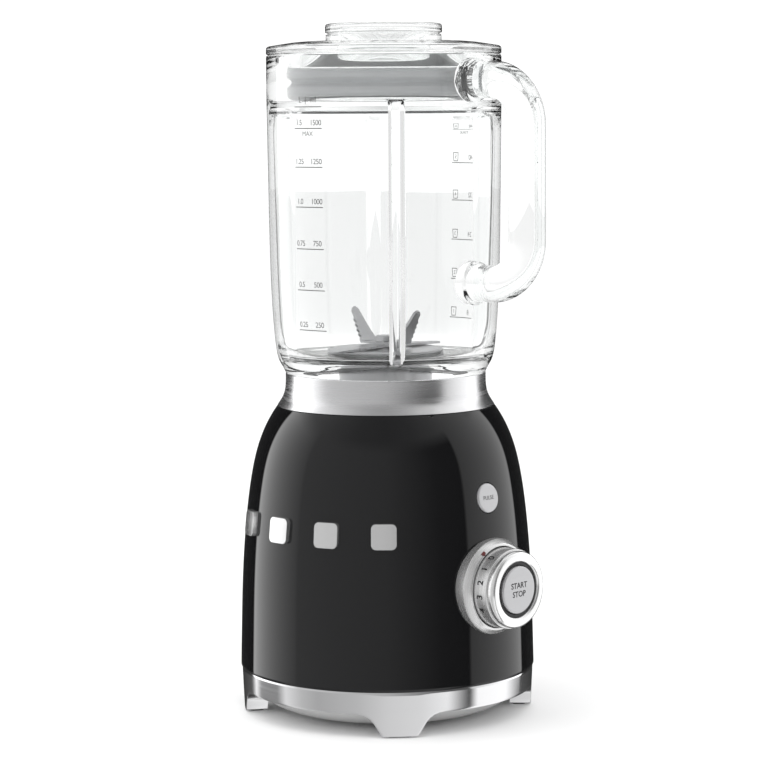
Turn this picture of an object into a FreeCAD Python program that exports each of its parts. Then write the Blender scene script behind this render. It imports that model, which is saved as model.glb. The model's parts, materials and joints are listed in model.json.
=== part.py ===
import FreeCAD, Part
import math
import os

# Countertop blender. Millimetres, +Z up. The origin is on the body's axis, on the
# surface that the blender stands on. +X points at the speed knob and the jug's handle.

Vector = FreeCAD.Vector
UP = Vector(0, 0, 1)
OUT = Vector(1, 0, 0)

# Base shell
shell_radii = [81.3, 80.9, 79.7, 77.4, 74.2, 69.8, 66.1, 61.0, 59.6]
shell_levels = [0.0, 17.1, 53.1, 83.1, 106.6, 124.3, 133.2, 142.0, 144.0]
shell_wall = 2.5
ring_top = 24.9                       # the shell stands on the base ring here
shell_height = shell_levels[-1]
shell_top = ring_top + shell_height
lip_thickness = 3.5
lip_radius = 34.0                     # opening in the shell's top lip

# Base ring, feet and bottom pan
ring_radius = 80.7
ring_taper = 1.1                      # how much the ring narrows down to the floor
ring_wall = 3.0
ring_edge = 13.0                      # lower edge of the skirt between the feet
ring_flange = 3.0
ring_flange_radius = 75.0
foot_angle = -41.0
foot_clear = 0.8                      # metal foot above the floor
foot_inner = 67.0
pad_depth = 2.0
pan_radius = 74.4
pan_flat_radius = 50.0
pan_bottom = 2.4
pan_wall = 2.2
vent_count = 12
vent_inner = 16.0
vent_outer = 34.0
vent_width = 3.0

# Collar
collar_height = 18.1
collar_waist = 55.05
collar_waist_height = 12.6
collar_wall = 1.6
collar_mouth = 52.0
collar_top = shell_top + collar_height

# Chassis and motor
chassis_thickness = 3.0
chassis_hole = 30.0
chassis_top = ring_top + chassis_thickness
post_circle = 50.0
post_radius = 6.5
post_height = 22.0
damper_radius = 8.0
damper_height = 6.0
arm_width = 14.0
bracket_thickness = 4.0
bearing_radius = 11.0
bearing_width = 7.0
shaft_radius = 4.0
running = 0.05                        # radial clearance of a running shaft
slip = 0.4                            # clearance of a loose fit
stator_half = 33.0
stator_corner = 8.0
stator_length = 45.0
stator_bore = 31.5
rotor_radius = 20.0
air_gap = 0.6
pole_angle = 34.0
bolt_offset = 27.0
bolt_radius = 2.0
commutator_radius = 11.0
carrier_thickness = 1.6
fan_radius = 38.0
fan_blades = 9
bracket_low = chassis_top + post_height + damper_height
stator_low = bracket_low + bracket_thickness + 25.0
stator_high = stator_low + stator_length
bracket_high = stator_high + 11.0
shaft_low = chassis_top + 6.0
shaft_high = shell_top + 4.0

# Drive coupling
lobes = 6
star_inner = 10.0
star_outer = 15.0
star_height = 11.0
coupling_low = shell_top - 9.0
drive_flange = 20.0
drive_flange_thickness = 5.0
star_low = coupling_low + drive_flange_thickness
star_clear = 0.6
driven_radius = 21.0

# Jug seat
seat_floor = 2.5
seat_hole = 23.0
seat_wall = 2.3
seat_radius = collar_mouth - 0.1
seat_height = 16.6
seat_top_of_floor = shell_top + seat_floor
seat_screw_circle = 39.0
rest_gap = 0.3                        # between parts that lift off and their seats

# Jug
jug_radius = 64.0
jug_wall = 3.3
jug_foot_radius = 55.0
jug_low = collar_top + rest_gap
jug_top = 359.9
jug_floor = 8.7
spigot_wall = 5.7
spigot_low = seat_top_of_floor + rest_gap
spigot_radius = seat_radius - seat_wall - slip
cavity_floor = jug_low + jug_floor
jug_mouth_radius = 53.6
jug_mouth_depth = 24.0
jug_shoulder = 6.0
jug_hole = 26.0
rib_angle = -39.5
rib_width = 6.5
rib_depth = 11.7
rib_top = jug_top - jug_mouth_depth - 0.6

# Handle
handle_radius = 9.8
handle_reach = 103.3
handle_high = 345.5
handle_low = 238.3
handle_bend = 24.0
handle_flange_radius = 11.8
handle_flange = 5.5

# Blades
blade_flange = 32.0
blade_flange_thickness = 1.3
gasket_thickness = 1.0
hub_radius = 10.0
hub_height = 1.3
bush_radius = 7.0
lock_ring_radius = 34.0
blade_thickness = 1.5
blade_low = cavity_floor + gasket_thickness + blade_flange_thickness + hub_height + slip
long_blade_reach = 42.0
long_blade_drop = 1.8
tall_blade_root = 13.3
tall_blade_reach = 25.3
tall_blade_rise = 19.5
blade_hub = 8.0
nut_width = 10.0
nut_height = 3.8

# Lid, seal and cap
lid_radius = 64.0
lid_edge = 4.3
lid_low = jug_top + rest_gap
lid_top = lid_low + 6.7
lid_dome_radius = 40.0
plug_wall = 3.0
seal_core = 48.6
seal_lip = jug_mouth_radius - slip
seal_high = lid_low - 9.2
seal_height = 13.4
plug_low = seal_high - seal_height - 1.4
cap_hole = 26.0
cap_radius = 31.8
cap_low = lid_top + rest_gap
cap_high = 376.6
cap_skirt_radius = 25.4
cap_wall = 2.2
cap_skirt_depth = 14.2

# Knob, with its axis along X
knob_level = 77.0
bezel_radius = 25.65
bezel_face = 84.6
dial_radius = 21.35
dial_back = 80.6
dial_front = 93.5
dial_wall = 1.8
rim_radius = 20.6
rim_front = 97.6
inset_radius = 15.0
start_radius = 12.75
start_clear = 0.35
stem_radius = 7.5
stem_bore = 5.5
stem_back = 65.0
stem_hole = stem_radius + slip
start_travel = 1.6

# Pulse button, on an axis square to the shell's slope
pulse_level = 124.0
pulse_face = 75.45
pulse_tilt = 9.5
pulse_radius = 8.0
pulse_clear = 0.4
pulse_travel = 1.2
guide_wall = 2.0
guide_depth = 15.0

# Control board
board_back = 57.0
board_thickness = 1.6
board_half = 31.0
board_low = 46.0
board_high = 108.0

# Front trim
trim_size = 13.4
trim_relief = 2.4
trim_level = 107.5
trim_centre = -81.0
trim_pitch = 22.8
trim_count = 4

# Interlock and cable gland
pin_circle = spigot_radius - spigot_wall / 2
pin_angle = 135.0
pin_radius = 1.6
pin_length = 16.0
gland_level = 17.5
gland_radius = 3.8
gland_bore = 2.8
gland_flange = 4.4


def save(name, shape):
    shape.exportStep("parts/" + name + ".step")


def cylinder(radius, low, high, x=0.0, y=0.0):
    return Part.makeCylinder(radius, high - low, Vector(x, y, low), UP)


def tube(outer, inner, low, high, x=0.0, y=0.0):
    return cylinder(outer, low, high, x, y).cut(cylinder(inner, low - 1, high + 1, x, y))


def box(x0, x1, y0, y1, z0, z1):
    return Part.makeBox(x1 - x0, y1 - y0, z1 - z0, Vector(x0, y0, z0))


def turned(points):
    """A solid turned about Z from its (radius, height) outline."""
    corners = [Vector(r, 0, z) for r, z in points]
    face = Part.Face(Part.makePolygon(corners + corners[:1]))
    return face.revolve(Vector(0, 0, 0), UP, 360)


def turned_edges(edges):
    face = Part.Face(Part.Wire(edges))
    return face.revolve(Vector(0, 0, 0), UP, 360)


def spline(points):
    curve = Part.BSplineCurve()
    curve.interpolate([Vector(r, 0, z) for r, z in points])
    return curve.toShape()


def line(start, end):
    return Part.makeLine(Vector(start[0], 0, start[1]), Vector(end[0], 0, end[1]))


def arc(start, middle, end):
    ends = [Vector(r, 0, z) for r, z in (start, middle, end)]
    return Part.Arc(*ends).toShape()


def along_x(shape, level):
    """Lay a shape drawn along Z onto the knob's axis, so that its Z becomes +X."""
    laid = shape.copy()
    laid.rotate(Vector(0, 0, 0), Vector(0, 1, 0), 90)
    laid.translate(Vector(0, 0, level))
    return laid


def around(shape, angle):
    copy = shape.copy()
    copy.rotate(Vector(0, 0, 0), UP, angle)
    return copy


def quarter_turns(shape, first):
    return [around(shape, first + 90 * k) for k in range(4)]


def joined(shapes):
    return shapes[0].multiFuse(shapes[1:]).removeSplitter()


def shell_outline(grow):
    """The shell's outer curve, moved out along its normals by grow."""
    points = list(zip(shell_radii, shell_levels))
    moved = []
    for k, (r, z) in enumerate(points):
        r0, z0 = points[max(k - 1, 0)]
        r1, z1 = points[min(k + 1, len(points) - 1)]
        length = math.hypot(r1 - r0, z1 - z0)
        moved.append((r + grow * (z1 - z0) / length, ring_top + z - grow * (r1 - r0) / length))
    return moved


def shell_volume(grow):
    curve = shell_outline(grow)
    low, high = curve[0][1], curve[-1][1]
    edges = [spline(curve), line(curve[-1], (0, high)), line((0, high), (0, low)), line((0, low), curve[0])]
    return turned_edges(edges)


def pulse_place(shape):
    """Move a shape drawn along Z, with its face at zero, onto the pulse button's axis."""
    placed = shape.copy()
    placed.rotate(Vector(0, 0, 0), Vector(0, 1, 0), 90 - pulse_tilt)
    placed.translate(Vector(pulse_face, 0, pulse_level))
    return placed


def body_shell():
    outside = shell_volume(0)
    inside = shell_volume(-shell_wall)
    lip_low = shell_top - lip_thickness
    room = inside.common(cylinder(200, ring_top - 5, lip_low))
    shell = outside.cut(room)
    shell = shell.cut(cylinder(lip_radius, lip_low - 1, shell_top + 1))
    boss = cylinder(4.0, chassis_top, chassis_top + 16, chassis_boss_circle(), 0)
    web = box(chassis_boss_circle(), shell_radii[0] - 1.5, -1.5, 1.5, chassis_top, chassis_top + 16)
    bore = cylinder(1.6, chassis_top - 1, chassis_top + 12, chassis_boss_circle(), 0)
    shell = joined([shell] + quarter_turns(boss.fuse(web), 45))
    for hole in quarter_turns(bore, 45):
        shell = shell.cut(hole)
    for hole in quarter_turns(cylinder(1.6, lip_low - 1, shell_top + 1, seat_screw_circle, 0), 0):
        shell = shell.cut(hole)
    shell = shell.cut(around(cylinder(pin_radius + slip, lip_low - 1, shell_top + 1, pin_circle, 0), pin_angle))
    shell = shell.cut(along_x(cylinder(stem_hole, board_back, bezel_face), knob_level))
    return shell.cut(pulse_place(cylinder(pulse_radius + pulse_clear, -12, 12)))


def chassis_boss_circle():
    return ring_flange_radius - 8.0


def foot_prism():
    """The outline of one foot, seen along its radius, run from inside out past the ring."""
    low, high = foot_clear, ring_edge
    left = [(-25.0, high + 0.3), (-17.4, high - 1.9), (-13.2, high - 6.6), (-10.5, low + 1.3), (-8.6, low)]

    def point(t, z):
        return Vector(foot_inner, t, z)

    def side(sign):
        flare = Part.Arc(*[point(sign * t, z) for t, z in left[:3]]).toShape()
        slope = Part.makeLine(point(sign * left[2][0], left[2][1]), point(sign * left[3][0], left[3][1]))
        middle = (sign * (left[3][0] + 0.7), low + 0.35)
        corner = Part.Arc(point(sign * left[3][0], left[3][1]), point(*middle),
                          point(sign * left[4][0], low)).toShape()
        return [flare, slope, corner]

    base = Part.makeLine(point(left[4][0], low), point(-left[4][0], low))
    top = high + 1.0
    ends = [Part.makeLine(point(s * left[0][0], left[0][1]), point(s * left[0][0], top)) for s in (1, -1)]
    lid = Part.makeLine(point(left[0][0], top), point(-left[0][0], top))
    wire = Part.Wire(Part.sortEdges(side(1) + [base] + side(-1) + ends + [lid])[0])
    return Part.Face(wire).extrude(Vector(ring_radius + 5 - foot_inner, 0, 0))


def ring_cone(inner_radius, low, high):
    def outer(z):
        return ring_radius - ring_taper * (ring_top - z) / ring_top
    return turned([(inner_radius, low), (outer(low), low), (outer(high), high), (inner_radius, high)])


def pad_shape(low, high, grow):
    """One rubber foot pad, rounded at its corners."""
    pad = box(foot_inner + 2.5 - grow, ring_radius - 4.0 + grow, -6.5 - grow, 6.5 + grow, low, high)
    return pad.makeFillet(2.0, [e for e in pad.Edges if abs(e.tangentAt(e.FirstParameter).z) > 0.9])


def base_ring():
    skirt = tube(ring_radius + 9, ring_radius - ring_taper - ring_wall, ring_edge, ring_top + 1)
    flange = tube(ring_radius + 9, ring_flange_radius, ring_top - ring_flange, ring_top + 1)
    blank = joined([skirt, flange] + quarter_turns(foot_prism(), foot_angle))
    ring = blank.common(ring_cone(foot_inner, foot_clear, ring_top))
    for pocket in quarter_turns(pad_shape(foot_clear - 1, foot_clear + pad_depth, 0.0), foot_angle):
        ring = ring.cut(pocket)
    return ring.cut(gland_hole(ring_radius + 2, ring_radius - 12))


def gland_hole(outer_x, inner_x):
    hole = Part.makeCylinder(gland_radius, outer_x - inner_x, Vector(-outer_x, 0, gland_level), OUT)
    return hole


def foot_pads():
    pad = pad_shape(0.0, foot_clear + pad_depth, 0.0)
    return Part.makeCompound(quarter_turns(pad, foot_angle))


def pan_outline(wall):
    low = pan_bottom + wall
    flat = (pan_flat_radius - 0.4 * wall, low)
    side = (pan_radius - wall, ring_edge + 1.0)
    middle = (pan_radius - wall - 9.0, low + 3.4)
    top = ring_top if wall == 0 else ring_top + 1
    return [line((0, low), flat), arc(flat, middle, side), line(side, (side[0], top)),
            line((side[0], top), (0, top)), line((0, top), (0, low))]


def bottom_pan():
    pan = turned_edges(pan_outline(0.0)).cut(turned_edges(pan_outline(pan_wall)))
    posts = quarter_turns(cylinder(4.5, pan_bottom + 1.5, ring_top, pan_screw_circle(), 0), 0)
    pan = joined([pan] + posts)
    for screw in quarter_turns(pan_screw_room(), 0):
        pan = pan.cut(screw)
    for foot in quarter_turns(foot_prism(), foot_angle):
        pan = pan.cut(foot)
    for k in range(vent_count):
        slot = box(vent_inner, vent_outer, -vent_width / 2, vent_width / 2, 0, pan_bottom + 4)
        pan = pan.cut(around(slot, 15 + 360.0 * k / vent_count))
    return max(pan.cut(gland_hole(ring_radius, ring_radius - 12)).Solids, key=lambda s: s.Volume)


def pan_screw_circle():
    return 46.0


def pan_screw_room():
    head = cylinder(3.4, 0, pan_bottom + 3.6, pan_screw_circle(), 0)
    return head.fuse(cylinder(1.6, 0, ring_top + 1, pan_screw_circle(), 0))


def screw(head_radius, head_low, head_high, shank_radius, low, high, at):
    return cylinder(head_radius, head_low, head_high, at, 0).fuse(cylinder(shank_radius, low, high, at, 0))


def pan_screws():
    one = screw(3.1, pan_bottom + 1.2, pan_bottom + 3.6, 1.6, pan_bottom + 3.6, ring_top + 2.4, pan_screw_circle())
    return Part.makeCompound(quarter_turns(one, 0))


def chassis_screws():
    one = screw(3.1, ring_top - 2.4, ring_top, 1.6, ring_top, chassis_top + 11, chassis_boss_circle())
    return Part.makeCompound(quarter_turns(one, 45))


def seat_screws():
    one = screw(3.0, shell_top + 0.6, shell_top + seat_floor - 0.2, 1.6, shell_top - 3.0, shell_top + 0.6,
                seat_screw_circle)
    return Part.makeCompound(quarter_turns(one, 0))


def chassis():
    plate = tube(shell_radii[0] - shell_wall - 0.6, chassis_hole, ring_top, chassis_top)
    post = cylinder(post_radius, ring_top + 0.5, chassis_top + post_height, post_circle, 0)
    plate = joined([plate] + quarter_turns(post, 45))
    for first, circle in ((0, pan_screw_circle()), (45, chassis_boss_circle())):
        for hole in quarter_turns(cylinder(1.6, ring_top - 1, chassis_top + 1, circle, 0), first):
            plate = plate.cut(hole)
    for hole in quarter_turns(cylinder(bolt_radius, ring_top + 8, bracket_low, post_circle, 0), 45):
        plate = plate.cut(hole)
    return plate


def dampers():
    low = chassis_top + post_height
    high = bracket_low
    waist = low + damper_height / 2
    one = turned([(bolt_radius, low), (damper_radius, low), (damper_radius, waist - 1.2),
                  (damper_radius - 2, waist), (damper_radius, waist + 1.2), (damper_radius, high),
                  (bolt_radius, high)])
    one.translate(Vector(post_circle, 0, 0))
    return Part.makeCompound(quarter_turns(one, 45))


def mount_screws():
    top = bracket_low + bracket_thickness
    one = screw(4.0, top, top + 2.6, bolt_radius, bracket_low - 16, top, post_circle)
    return Part.makeCompound(quarter_turns(one, 45))


def bracket(plate_low, legs_low, legs_high, hub_low, hub_high, reach, bearing_low):
    plates = []
    for turn in (45, 135):
        arm = box(-reach, reach, -arm_width / 2, arm_width / 2, plate_low, plate_low + bracket_thickness)
        plates.append(around(arm, turn))
    hub = cylinder(bearing_radius + 4, hub_low, hub_high)
    corner = bolt_offset * math.sqrt(2)
    legs = quarter_turns(cylinder(5, legs_low, legs_high, corner, 0), 45)
    body = joined(plates + [hub] + legs)
    body = body.cut(cylinder(bearing_radius, bearing_low, bearing_low + bearing_width + 20 * (bearing_low > hub_low)))
    body = body.cut(cylinder(shaft_radius + 2, hub_low - 5, hub_high + 5))
    for hole in quarter_turns(cylinder(bolt_radius, plate_low - 40, plate_low + 60, corner, 0), 45):
        body = body.cut(hole)
    return body


def lower_bracket():
    low = bracket_low
    body = bracket(low, low, stator_low, low, low + 11, post_circle + 8, low + 4)
    for hole in quarter_turns(cylinder(bolt_radius, low - 1, low + 9, post_circle, 0), 45):
        body = body.cut(hole)
    return body


def upper_bracket():
    low = bracket_high
    corner = bolt_offset * math.sqrt(2) + 5
    return bracket(low, stator_high, low + 1, low - 3, low + 8, corner, low + 1)


def motor_bolts():
    corner = bolt_offset * math.sqrt(2)
    top = bracket_high + bracket_thickness
    one = screw(3.5, top, top + 2.4, bolt_radius, bracket_low + 1, top, corner)
    return Part.makeCompound(quarter_turns(one, 45))


def bearing(low):
    """Outer race, inner race and the shielded ring between them, in one solid."""
    high = low + bearing_width
    bore = shaft_radius + running
    return turned([(bore, low), (6.0, low), (6.0, low + 0.5), (9.0, low + 0.5), (9.0, low),
                   (bearing_radius, low), (bearing_radius, high), (9.0, high), (9.0, high - 0.5),
                   (6.0, high - 0.5), (6.0, high), (bore, high)])


def sector(inner, outer, half_angle, low, high, middle):
    ring = tube(outer, inner, low, high)
    reach = outer * 3
    side = math.tan(math.radians(half_angle)) * reach
    wedge = Part.Face(Part.makePolygon([Vector(0, 0, low - 1), Vector(reach, -side, low - 1),
                                        Vector(reach, side, low - 1), Vector(0, 0, low - 1)]))
    return around(ring.common(wedge.extrude(Vector(0, 0, high - low + 2))), middle)


def stator():
    block = box(-stator_half, stator_half, -stator_half, stator_half, stator_low, stator_high)
    block = block.makeFillet(stator_corner, [e for e in block.Edges if abs(e.tangentAt(e.FirstParameter).z) > 0.9])
    block = block.cut(cylinder(stator_bore, stator_low - 1, stator_high + 1))
    inner = rotor_radius + air_gap
    poles = [sector(inner, stator_bore + 0.4, pole_angle, stator_low, stator_high, a) for a in (90, 270)]
    block = joined([block] + poles)
    corner = bolt_offset * math.sqrt(2)
    for hole in quarter_turns(cylinder(bolt_radius, stator_low - 1, stator_high + 1, corner, 0), 45):
        block = block.cut(hole)
    return block


def field_coils():
    inner = rotor_radius + air_gap + 1.5
    outer = stator_bore - 0.5
    coils = []
    for middle in (90, 270):
        loop = sector(inner, outer, pole_angle + 20, stator_low - 6, stator_high + 6, middle)
        hole = sector(inner - 2, outer + 2, pole_angle + 0.6, stator_low - 0.6, stator_high + 0.6, middle)
        coils.append(loop.cut(hole))
    return Part.makeCompound(coils)


def rotor_core():
    core = tube(rotor_radius, shaft_radius, stator_low, stator_high)
    for k in range(12):
        slot = box(rotor_radius - 2.5, rotor_radius + 1, -0.9, 0.9, stator_low - 1, stator_high + 1)
        core = core.cut(around(slot, 30 * k))
    return core


def rotor_windings():
    low = turned([(shaft_radius + 3, stator_low - 5.5), (14, stator_low - 5.5), (17.5, stator_low - 2.5),
                  (17.5, stator_low), (shaft_radius + 3, stator_low)])
    high = turned([(shaft_radius + 3, stator_high), (17.5, stator_high), (17.5, stator_high + 3),
                   (14, stator_high + 6), (shaft_radius + 3, stator_high + 6)])
    return Part.makeCompound([low, high])


def commutator():
    low = bracket_low + 12.5
    high = stator_low - 6
    drum = tube(commutator_radius, shaft_radius, low, high)
    for k in range(24):
        slit = box(commutator_radius - 0.8, commutator_radius + 1, -0.25, 0.25, low - 1, high + 1)
        drum = drum.cut(around(slit, 15 * k))
    return drum


def brush_level():
    return bracket_low + 17.0


def brushes():
    one = box(commutator_radius + 0.3, commutator_radius + 14, -3, 3, brush_level() - 3, brush_level() + 3)
    return Part.makeCompound([one, around(one, 180)])


def brush_holders():
    low = bracket_low + bracket_thickness
    one = box(commutator_radius + 4.5, commutator_radius + 19, -5.5, 5.5, low + 7, brush_level() + 5)
    foot = box(commutator_radius + 5, commutator_radius + 17, -2.2, 2.2, low + carrier_thickness, low + 7)
    one = one.fuse(foot)
    one = one.cut(box(0, commutator_radius + 14, -3, 3, brush_level() - 3, brush_level() + 3))
    return Part.makeCompound([one, around(one, 180)])


def brush_carrier():
    """A plastic bar across the lower bracket, under both brush holders."""
    reach = commutator_radius + 19
    low = bracket_low + bracket_thickness
    bar = box(-reach, reach, -7, 7, low, low + carrier_thickness)
    bar = bar.cut(cylinder(bearing_radius + 4, bracket_low, bracket_low + 20))
    return Part.makeCompound(bar.Solids)


def motor_shaft():
    return cylinder(shaft_radius, shaft_low, shaft_high)


def cooling_fan():
    low = shaft_low + 2
    plate_top = low + 1.6
    hub = tube(9, shaft_radius, low, low + 11)
    plate = tube(fan_radius, shaft_radius, low, plate_top)
    vane = box(8.5, fan_radius - 1, -0.7, 0.7, plate_top - 0.2, low + 11)
    vanes = [around(vane, 360.0 * k / fan_blades) for k in range(fan_blades)]
    return joined([plate, hub] + vanes)


def star(inner, outer, low, high):
    corners = []
    for k in range(lobes):
        for turn, radius in ((-20, inner), (-12, outer), (12, outer), (20, inner)):
            angle = math.radians(360.0 * k / lobes + turn)
            corners.append(Vector(radius * math.cos(angle), radius * math.sin(angle), low))
    return Part.Face(Part.makePolygon(corners + corners[:1])).extrude(Vector(0, 0, high - low))


def drive_coupling():
    flange = cylinder(drive_flange, coupling_low, star_low)
    body = flange.fuse(star(star_inner, star_outer, star_low, star_low + star_height)).removeSplitter()
    return body.cut(cylinder(shaft_radius, coupling_low - 1, shaft_high))


def driven_low():
    return star_low + 1.2


def driven_coupling():
    high = cavity_floor - jug_floor - 7.0
    body = cylinder(driven_radius, driven_low(), high)
    room = star(star_inner + star_clear, star_outer + star_clear, driven_low() - 1, star_low + star_height + 0.8)
    return body.cut(room).cut(cylinder(shaft_radius, high - 3, high + 1))


def collar():
    low = (shell_radii[-1], shell_top)
    waist = (collar_waist, shell_top + collar_waist_height)
    middle = (collar_waist + 1.55, shell_top + 5.2)
    top = (jug_foot_radius, collar_top)
    edges = [arc(low, middle, waist), line(waist, top), line(top, (collar_mouth, collar_top)),
             line((collar_mouth, collar_top), (collar_mouth, collar_top - 1.6)),
             line((collar_mouth, collar_top - 1.6), (waist[0] - collar_wall, collar_top - 1.6)),
             line((waist[0] - collar_wall, collar_top - 1.6), (waist[0] - collar_wall, waist[1])),
             arc((waist[0] - collar_wall, waist[1]), (middle[0] - collar_wall, middle[1]),
                 (low[0] - collar_wall - 0.8, shell_top)),
             line((low[0] - collar_wall - 0.8, shell_top), low)]
    return turned_edges(edges)


def jug_seat():
    inner = seat_radius - seat_wall
    seat = turned([(seat_hole, shell_top), (seat_radius, shell_top), (seat_radius, shell_top + seat_height),
                   (inner, shell_top + seat_height), (inner, seat_top_of_floor), (seat_hole, seat_top_of_floor)])
    for hole in quarter_turns(screw(3.2, shell_top + 0.6, shell_top + 9, 1.6, shell_top - 1, shell_top + 1,
                                    seat_screw_circle), 0):
        seat = seat.cut(hole)
    return seat.cut(around(cylinder(pin_radius + slip, shell_top - 1, shell_top + 9, pin_circle, 0), pin_angle))


def jug_outline():
    """The jug's outer curve above its foot."""
    rise = jug_top - jug_low
    return [(jug_foot_radius, jug_low), (jug_radius - 7.6, jug_low + 2.9), (jug_radius - 5.8, jug_low + 6.2),
            (jug_radius - 4.1, jug_low + 12.8), (jug_radius - 2.8, jug_low + 0.148 * rise),
            (jug_radius - 1.9, jug_low + 0.23 * rise), (jug_radius - 0.9, jug_low + 0.44 * rise),
            (jug_radius, jug_low + 0.87 * rise)]


def jug_volume():
    curve = jug_outline()
    top = (jug_radius, jug_top)
    return turned_edges([spline(curve), line(curve[-1], top), line(top, (0, jug_top)),
                         line((0, jug_top), (0, jug_low)), line((0, jug_low), curve[0])])


def jug_cavity():
    rise = jug_top - jug_low
    shoulder_low = rib_top - jug_shoulder
    curve = [(jug_radius - 14.0, cavity_floor), (jug_radius - 9.6, cavity_floor + 2.6),
             (jug_radius - 7.2, cavity_floor + 9.0), (jug_radius - 2.6 - jug_wall, cavity_floor + 22.0),
             (jug_radius - 1.2 - jug_wall, jug_low + 0.40 * rise), (jug_radius - jug_wall, jug_low + 0.76 * rise)]
    wall = (jug_radius - jug_wall, shoulder_low)
    neck = (jug_mouth_radius, rib_top)
    return turned_edges([spline(curve), line(curve[-1], wall), line(wall, neck),
                         line(neck, (jug_mouth_radius, jug_top + 1)),
                         line((jug_mouth_radius, jug_top + 1), (0, jug_top + 1)),
                         line((0, jug_top + 1), (0, cavity_floor)), line((0, cavity_floor), curve[0])])


def jug_ribs():
    tip = jug_radius - jug_wall - rib_depth
    half = rib_width / 2
    rib = box(tip + half, jug_radius - 1, -half, half, cavity_floor - 1, rib_top)
    rib = rib.fuse(cylinder(half, cavity_floor - 1, rib_top, tip + half, 0))
    return [part.common(jug_volume()) for part in quarter_turns(rib, rib_angle)]


def jug():
    wall = jug_volume().cut(jug_cavity())
    spigot = tube(spigot_radius, spigot_radius - spigot_wall, spigot_low, jug_low + 1)
    body = joined([wall, spigot] + jug_ribs())
    return body.cut(cylinder(jug_hole, jug_low - 1, cavity_floor + 1))


def jug_handle():
    start = jug_radius - 5
    corner = handle_reach - handle_bend
    diagonal = handle_bend * math.sqrt(0.5)
    high, low = handle_high, handle_low

    def point(x, z):
        return Vector(x, 0, z)

    upper = Part.Arc(point(corner, high), point(corner + diagonal, high - handle_bend + diagonal),
                     point(handle_reach, high - handle_bend)).toShape()
    lower = Part.Arc(point(handle_reach, low + handle_bend), point(corner + diagonal, low + handle_bend - diagonal),
                     point(corner, low)).toShape()
    path = Part.Wire([Part.makeLine(point(start, high), point(corner, high)), upper,
                      Part.makeLine(point(handle_reach, high - handle_bend), point(handle_reach, low + handle_bend)),
                      lower, Part.makeLine(point(corner, low), point(start, low))])
    section = Part.Wire(Part.makeCircle(handle_radius, point(start, high), OUT))
    grip = path.makePipeShell([section], True, False)
    flanges = [along_x(cylinder(handle_flange_radius, start, jug_radius + handle_flange), z) for z in (high, low)]
    return joined([grip] + flanges).cut(jug_volume())


def blade_base():
    """Threaded body through the jug's floor, with a flange and a low hub on top."""
    low = jug_low - 6.5
    flange_low = cavity_floor + gasket_thickness
    flange_high = flange_low + blade_flange_thickness
    body = turned([(0, low), (jug_hole - 0.5, low), (jug_hole - 0.5, flange_low), (blade_flange, flange_low),
                   (blade_flange, flange_high - 0.5), (blade_flange - 1.5, flange_high),
                   (hub_radius + 5, flange_high), (hub_radius, flange_high + hub_height),
                   (0, flange_high + hub_height)])
    return body.cut(cylinder(bush_radius, low - 1, flange_high + hub_height + 1))


def blade_gasket():
    return tube(blade_flange - 0.5, jug_hole + 0.3, cavity_floor, cavity_floor + gasket_thickness)


def lock_ring():
    ring = tube(lock_ring_radius, jug_hole - 0.5, jug_low - 6.5, jug_low)
    for k in range(8):
        ring = ring.cut(around(cylinder(3, jug_low - 8, jug_low - 1.5, lock_ring_radius + 1, 0), 45 * k))
    return ring


def blade_bush():
    return tube(bush_radius, shaft_radius + running, jug_low - 6.5, cavity_floor - 0.5)


def shaft_seal():
    top = blade_low - slip - 0.3
    return tube(bush_radius, shaft_radius + running, cavity_floor - 0.5, top)


def blade_shaft():
    return cylinder(shaft_radius, cavity_floor - jug_floor - 10.0, nut_low() + nut_height - 0.8)


def nut_low():
    return blade_low + 2 * blade_thickness


def wing(outline, low):
    corners = [Vector(x, y, low) for x, y in outline]
    return Part.Face(Part.makePolygon(corners + corners[:1])).extrude(Vector(0, 0, blade_thickness))


def toothed(length, root_half, tip_half, teeth, cut):
    """One blade wing lying along +X, with a straight back and a toothed cutting edge."""
    edge = []
    for k in range(teeth):
        start = 2.0 + (length - 6.0) * k / teeth
        end = 2.0 + (length - 6.0) * (k + 1) / teeth
        edge.append((start, root_half + (tip_half - root_half) * start / length))
        edge.append(((start + end) / 2, root_half + (tip_half - root_half) * (start + end) / 2 / length - cut))
    tip = [(length - 2.0, tip_half), (length, tip_half - 1.6), (length, -tip_half + 1.6), (length - 1.6, -tip_half)]
    return [(-0.5, root_half)] + edge + tip + [(-0.5, -root_half)]


def upper_blades():
    """A plate whose two opposite wings are bent steeply up."""
    root = tall_blade_root
    run = tall_blade_reach - root
    length = math.hypot(run, tall_blade_rise)
    slope = math.degrees(math.atan2(tall_blade_rise, run))
    low = blade_low + blade_thickness
    plate = cylinder(blade_hub, low, low + blade_thickness)
    plate = plate.fuse(box(-root, root, -6.3, 6.3, low, low + blade_thickness))
    tall = wing(toothed(length, 6.3, 2.4, 5, 0.9), 0)
    tall.rotate(Vector(0, 0, 0), Vector(0, 1, 0), -slope)
    tall.translate(Vector(root, 0, low + 0.2))
    body = joined([plate, tall, around(tall, 180)])
    return body.cut(cylinder(shaft_radius, low - 1, low + 5))


def lower_blades():
    """A plate whose two long wings droop a little towards the jug's floor."""
    root = blade_hub - 1.0
    slope = math.degrees(math.atan2(long_blade_drop, long_blade_reach - root))
    plate = cylinder(blade_hub, blade_low, blade_low + blade_thickness)
    long_wing = wing(toothed(long_blade_reach - root, 6.0, 4.0, 7, 0.8), 0)
    long_wing.rotate(Vector(0, 0, 0), Vector(0, 1, 0), slope)
    long_wing.translate(Vector(root, 0, blade_low - 0.1))
    body = joined([plate, around(long_wing, 90), around(long_wing, 270)])
    return body.cut(cylinder(shaft_radius, blade_low - 1, blade_low + 5))


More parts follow.
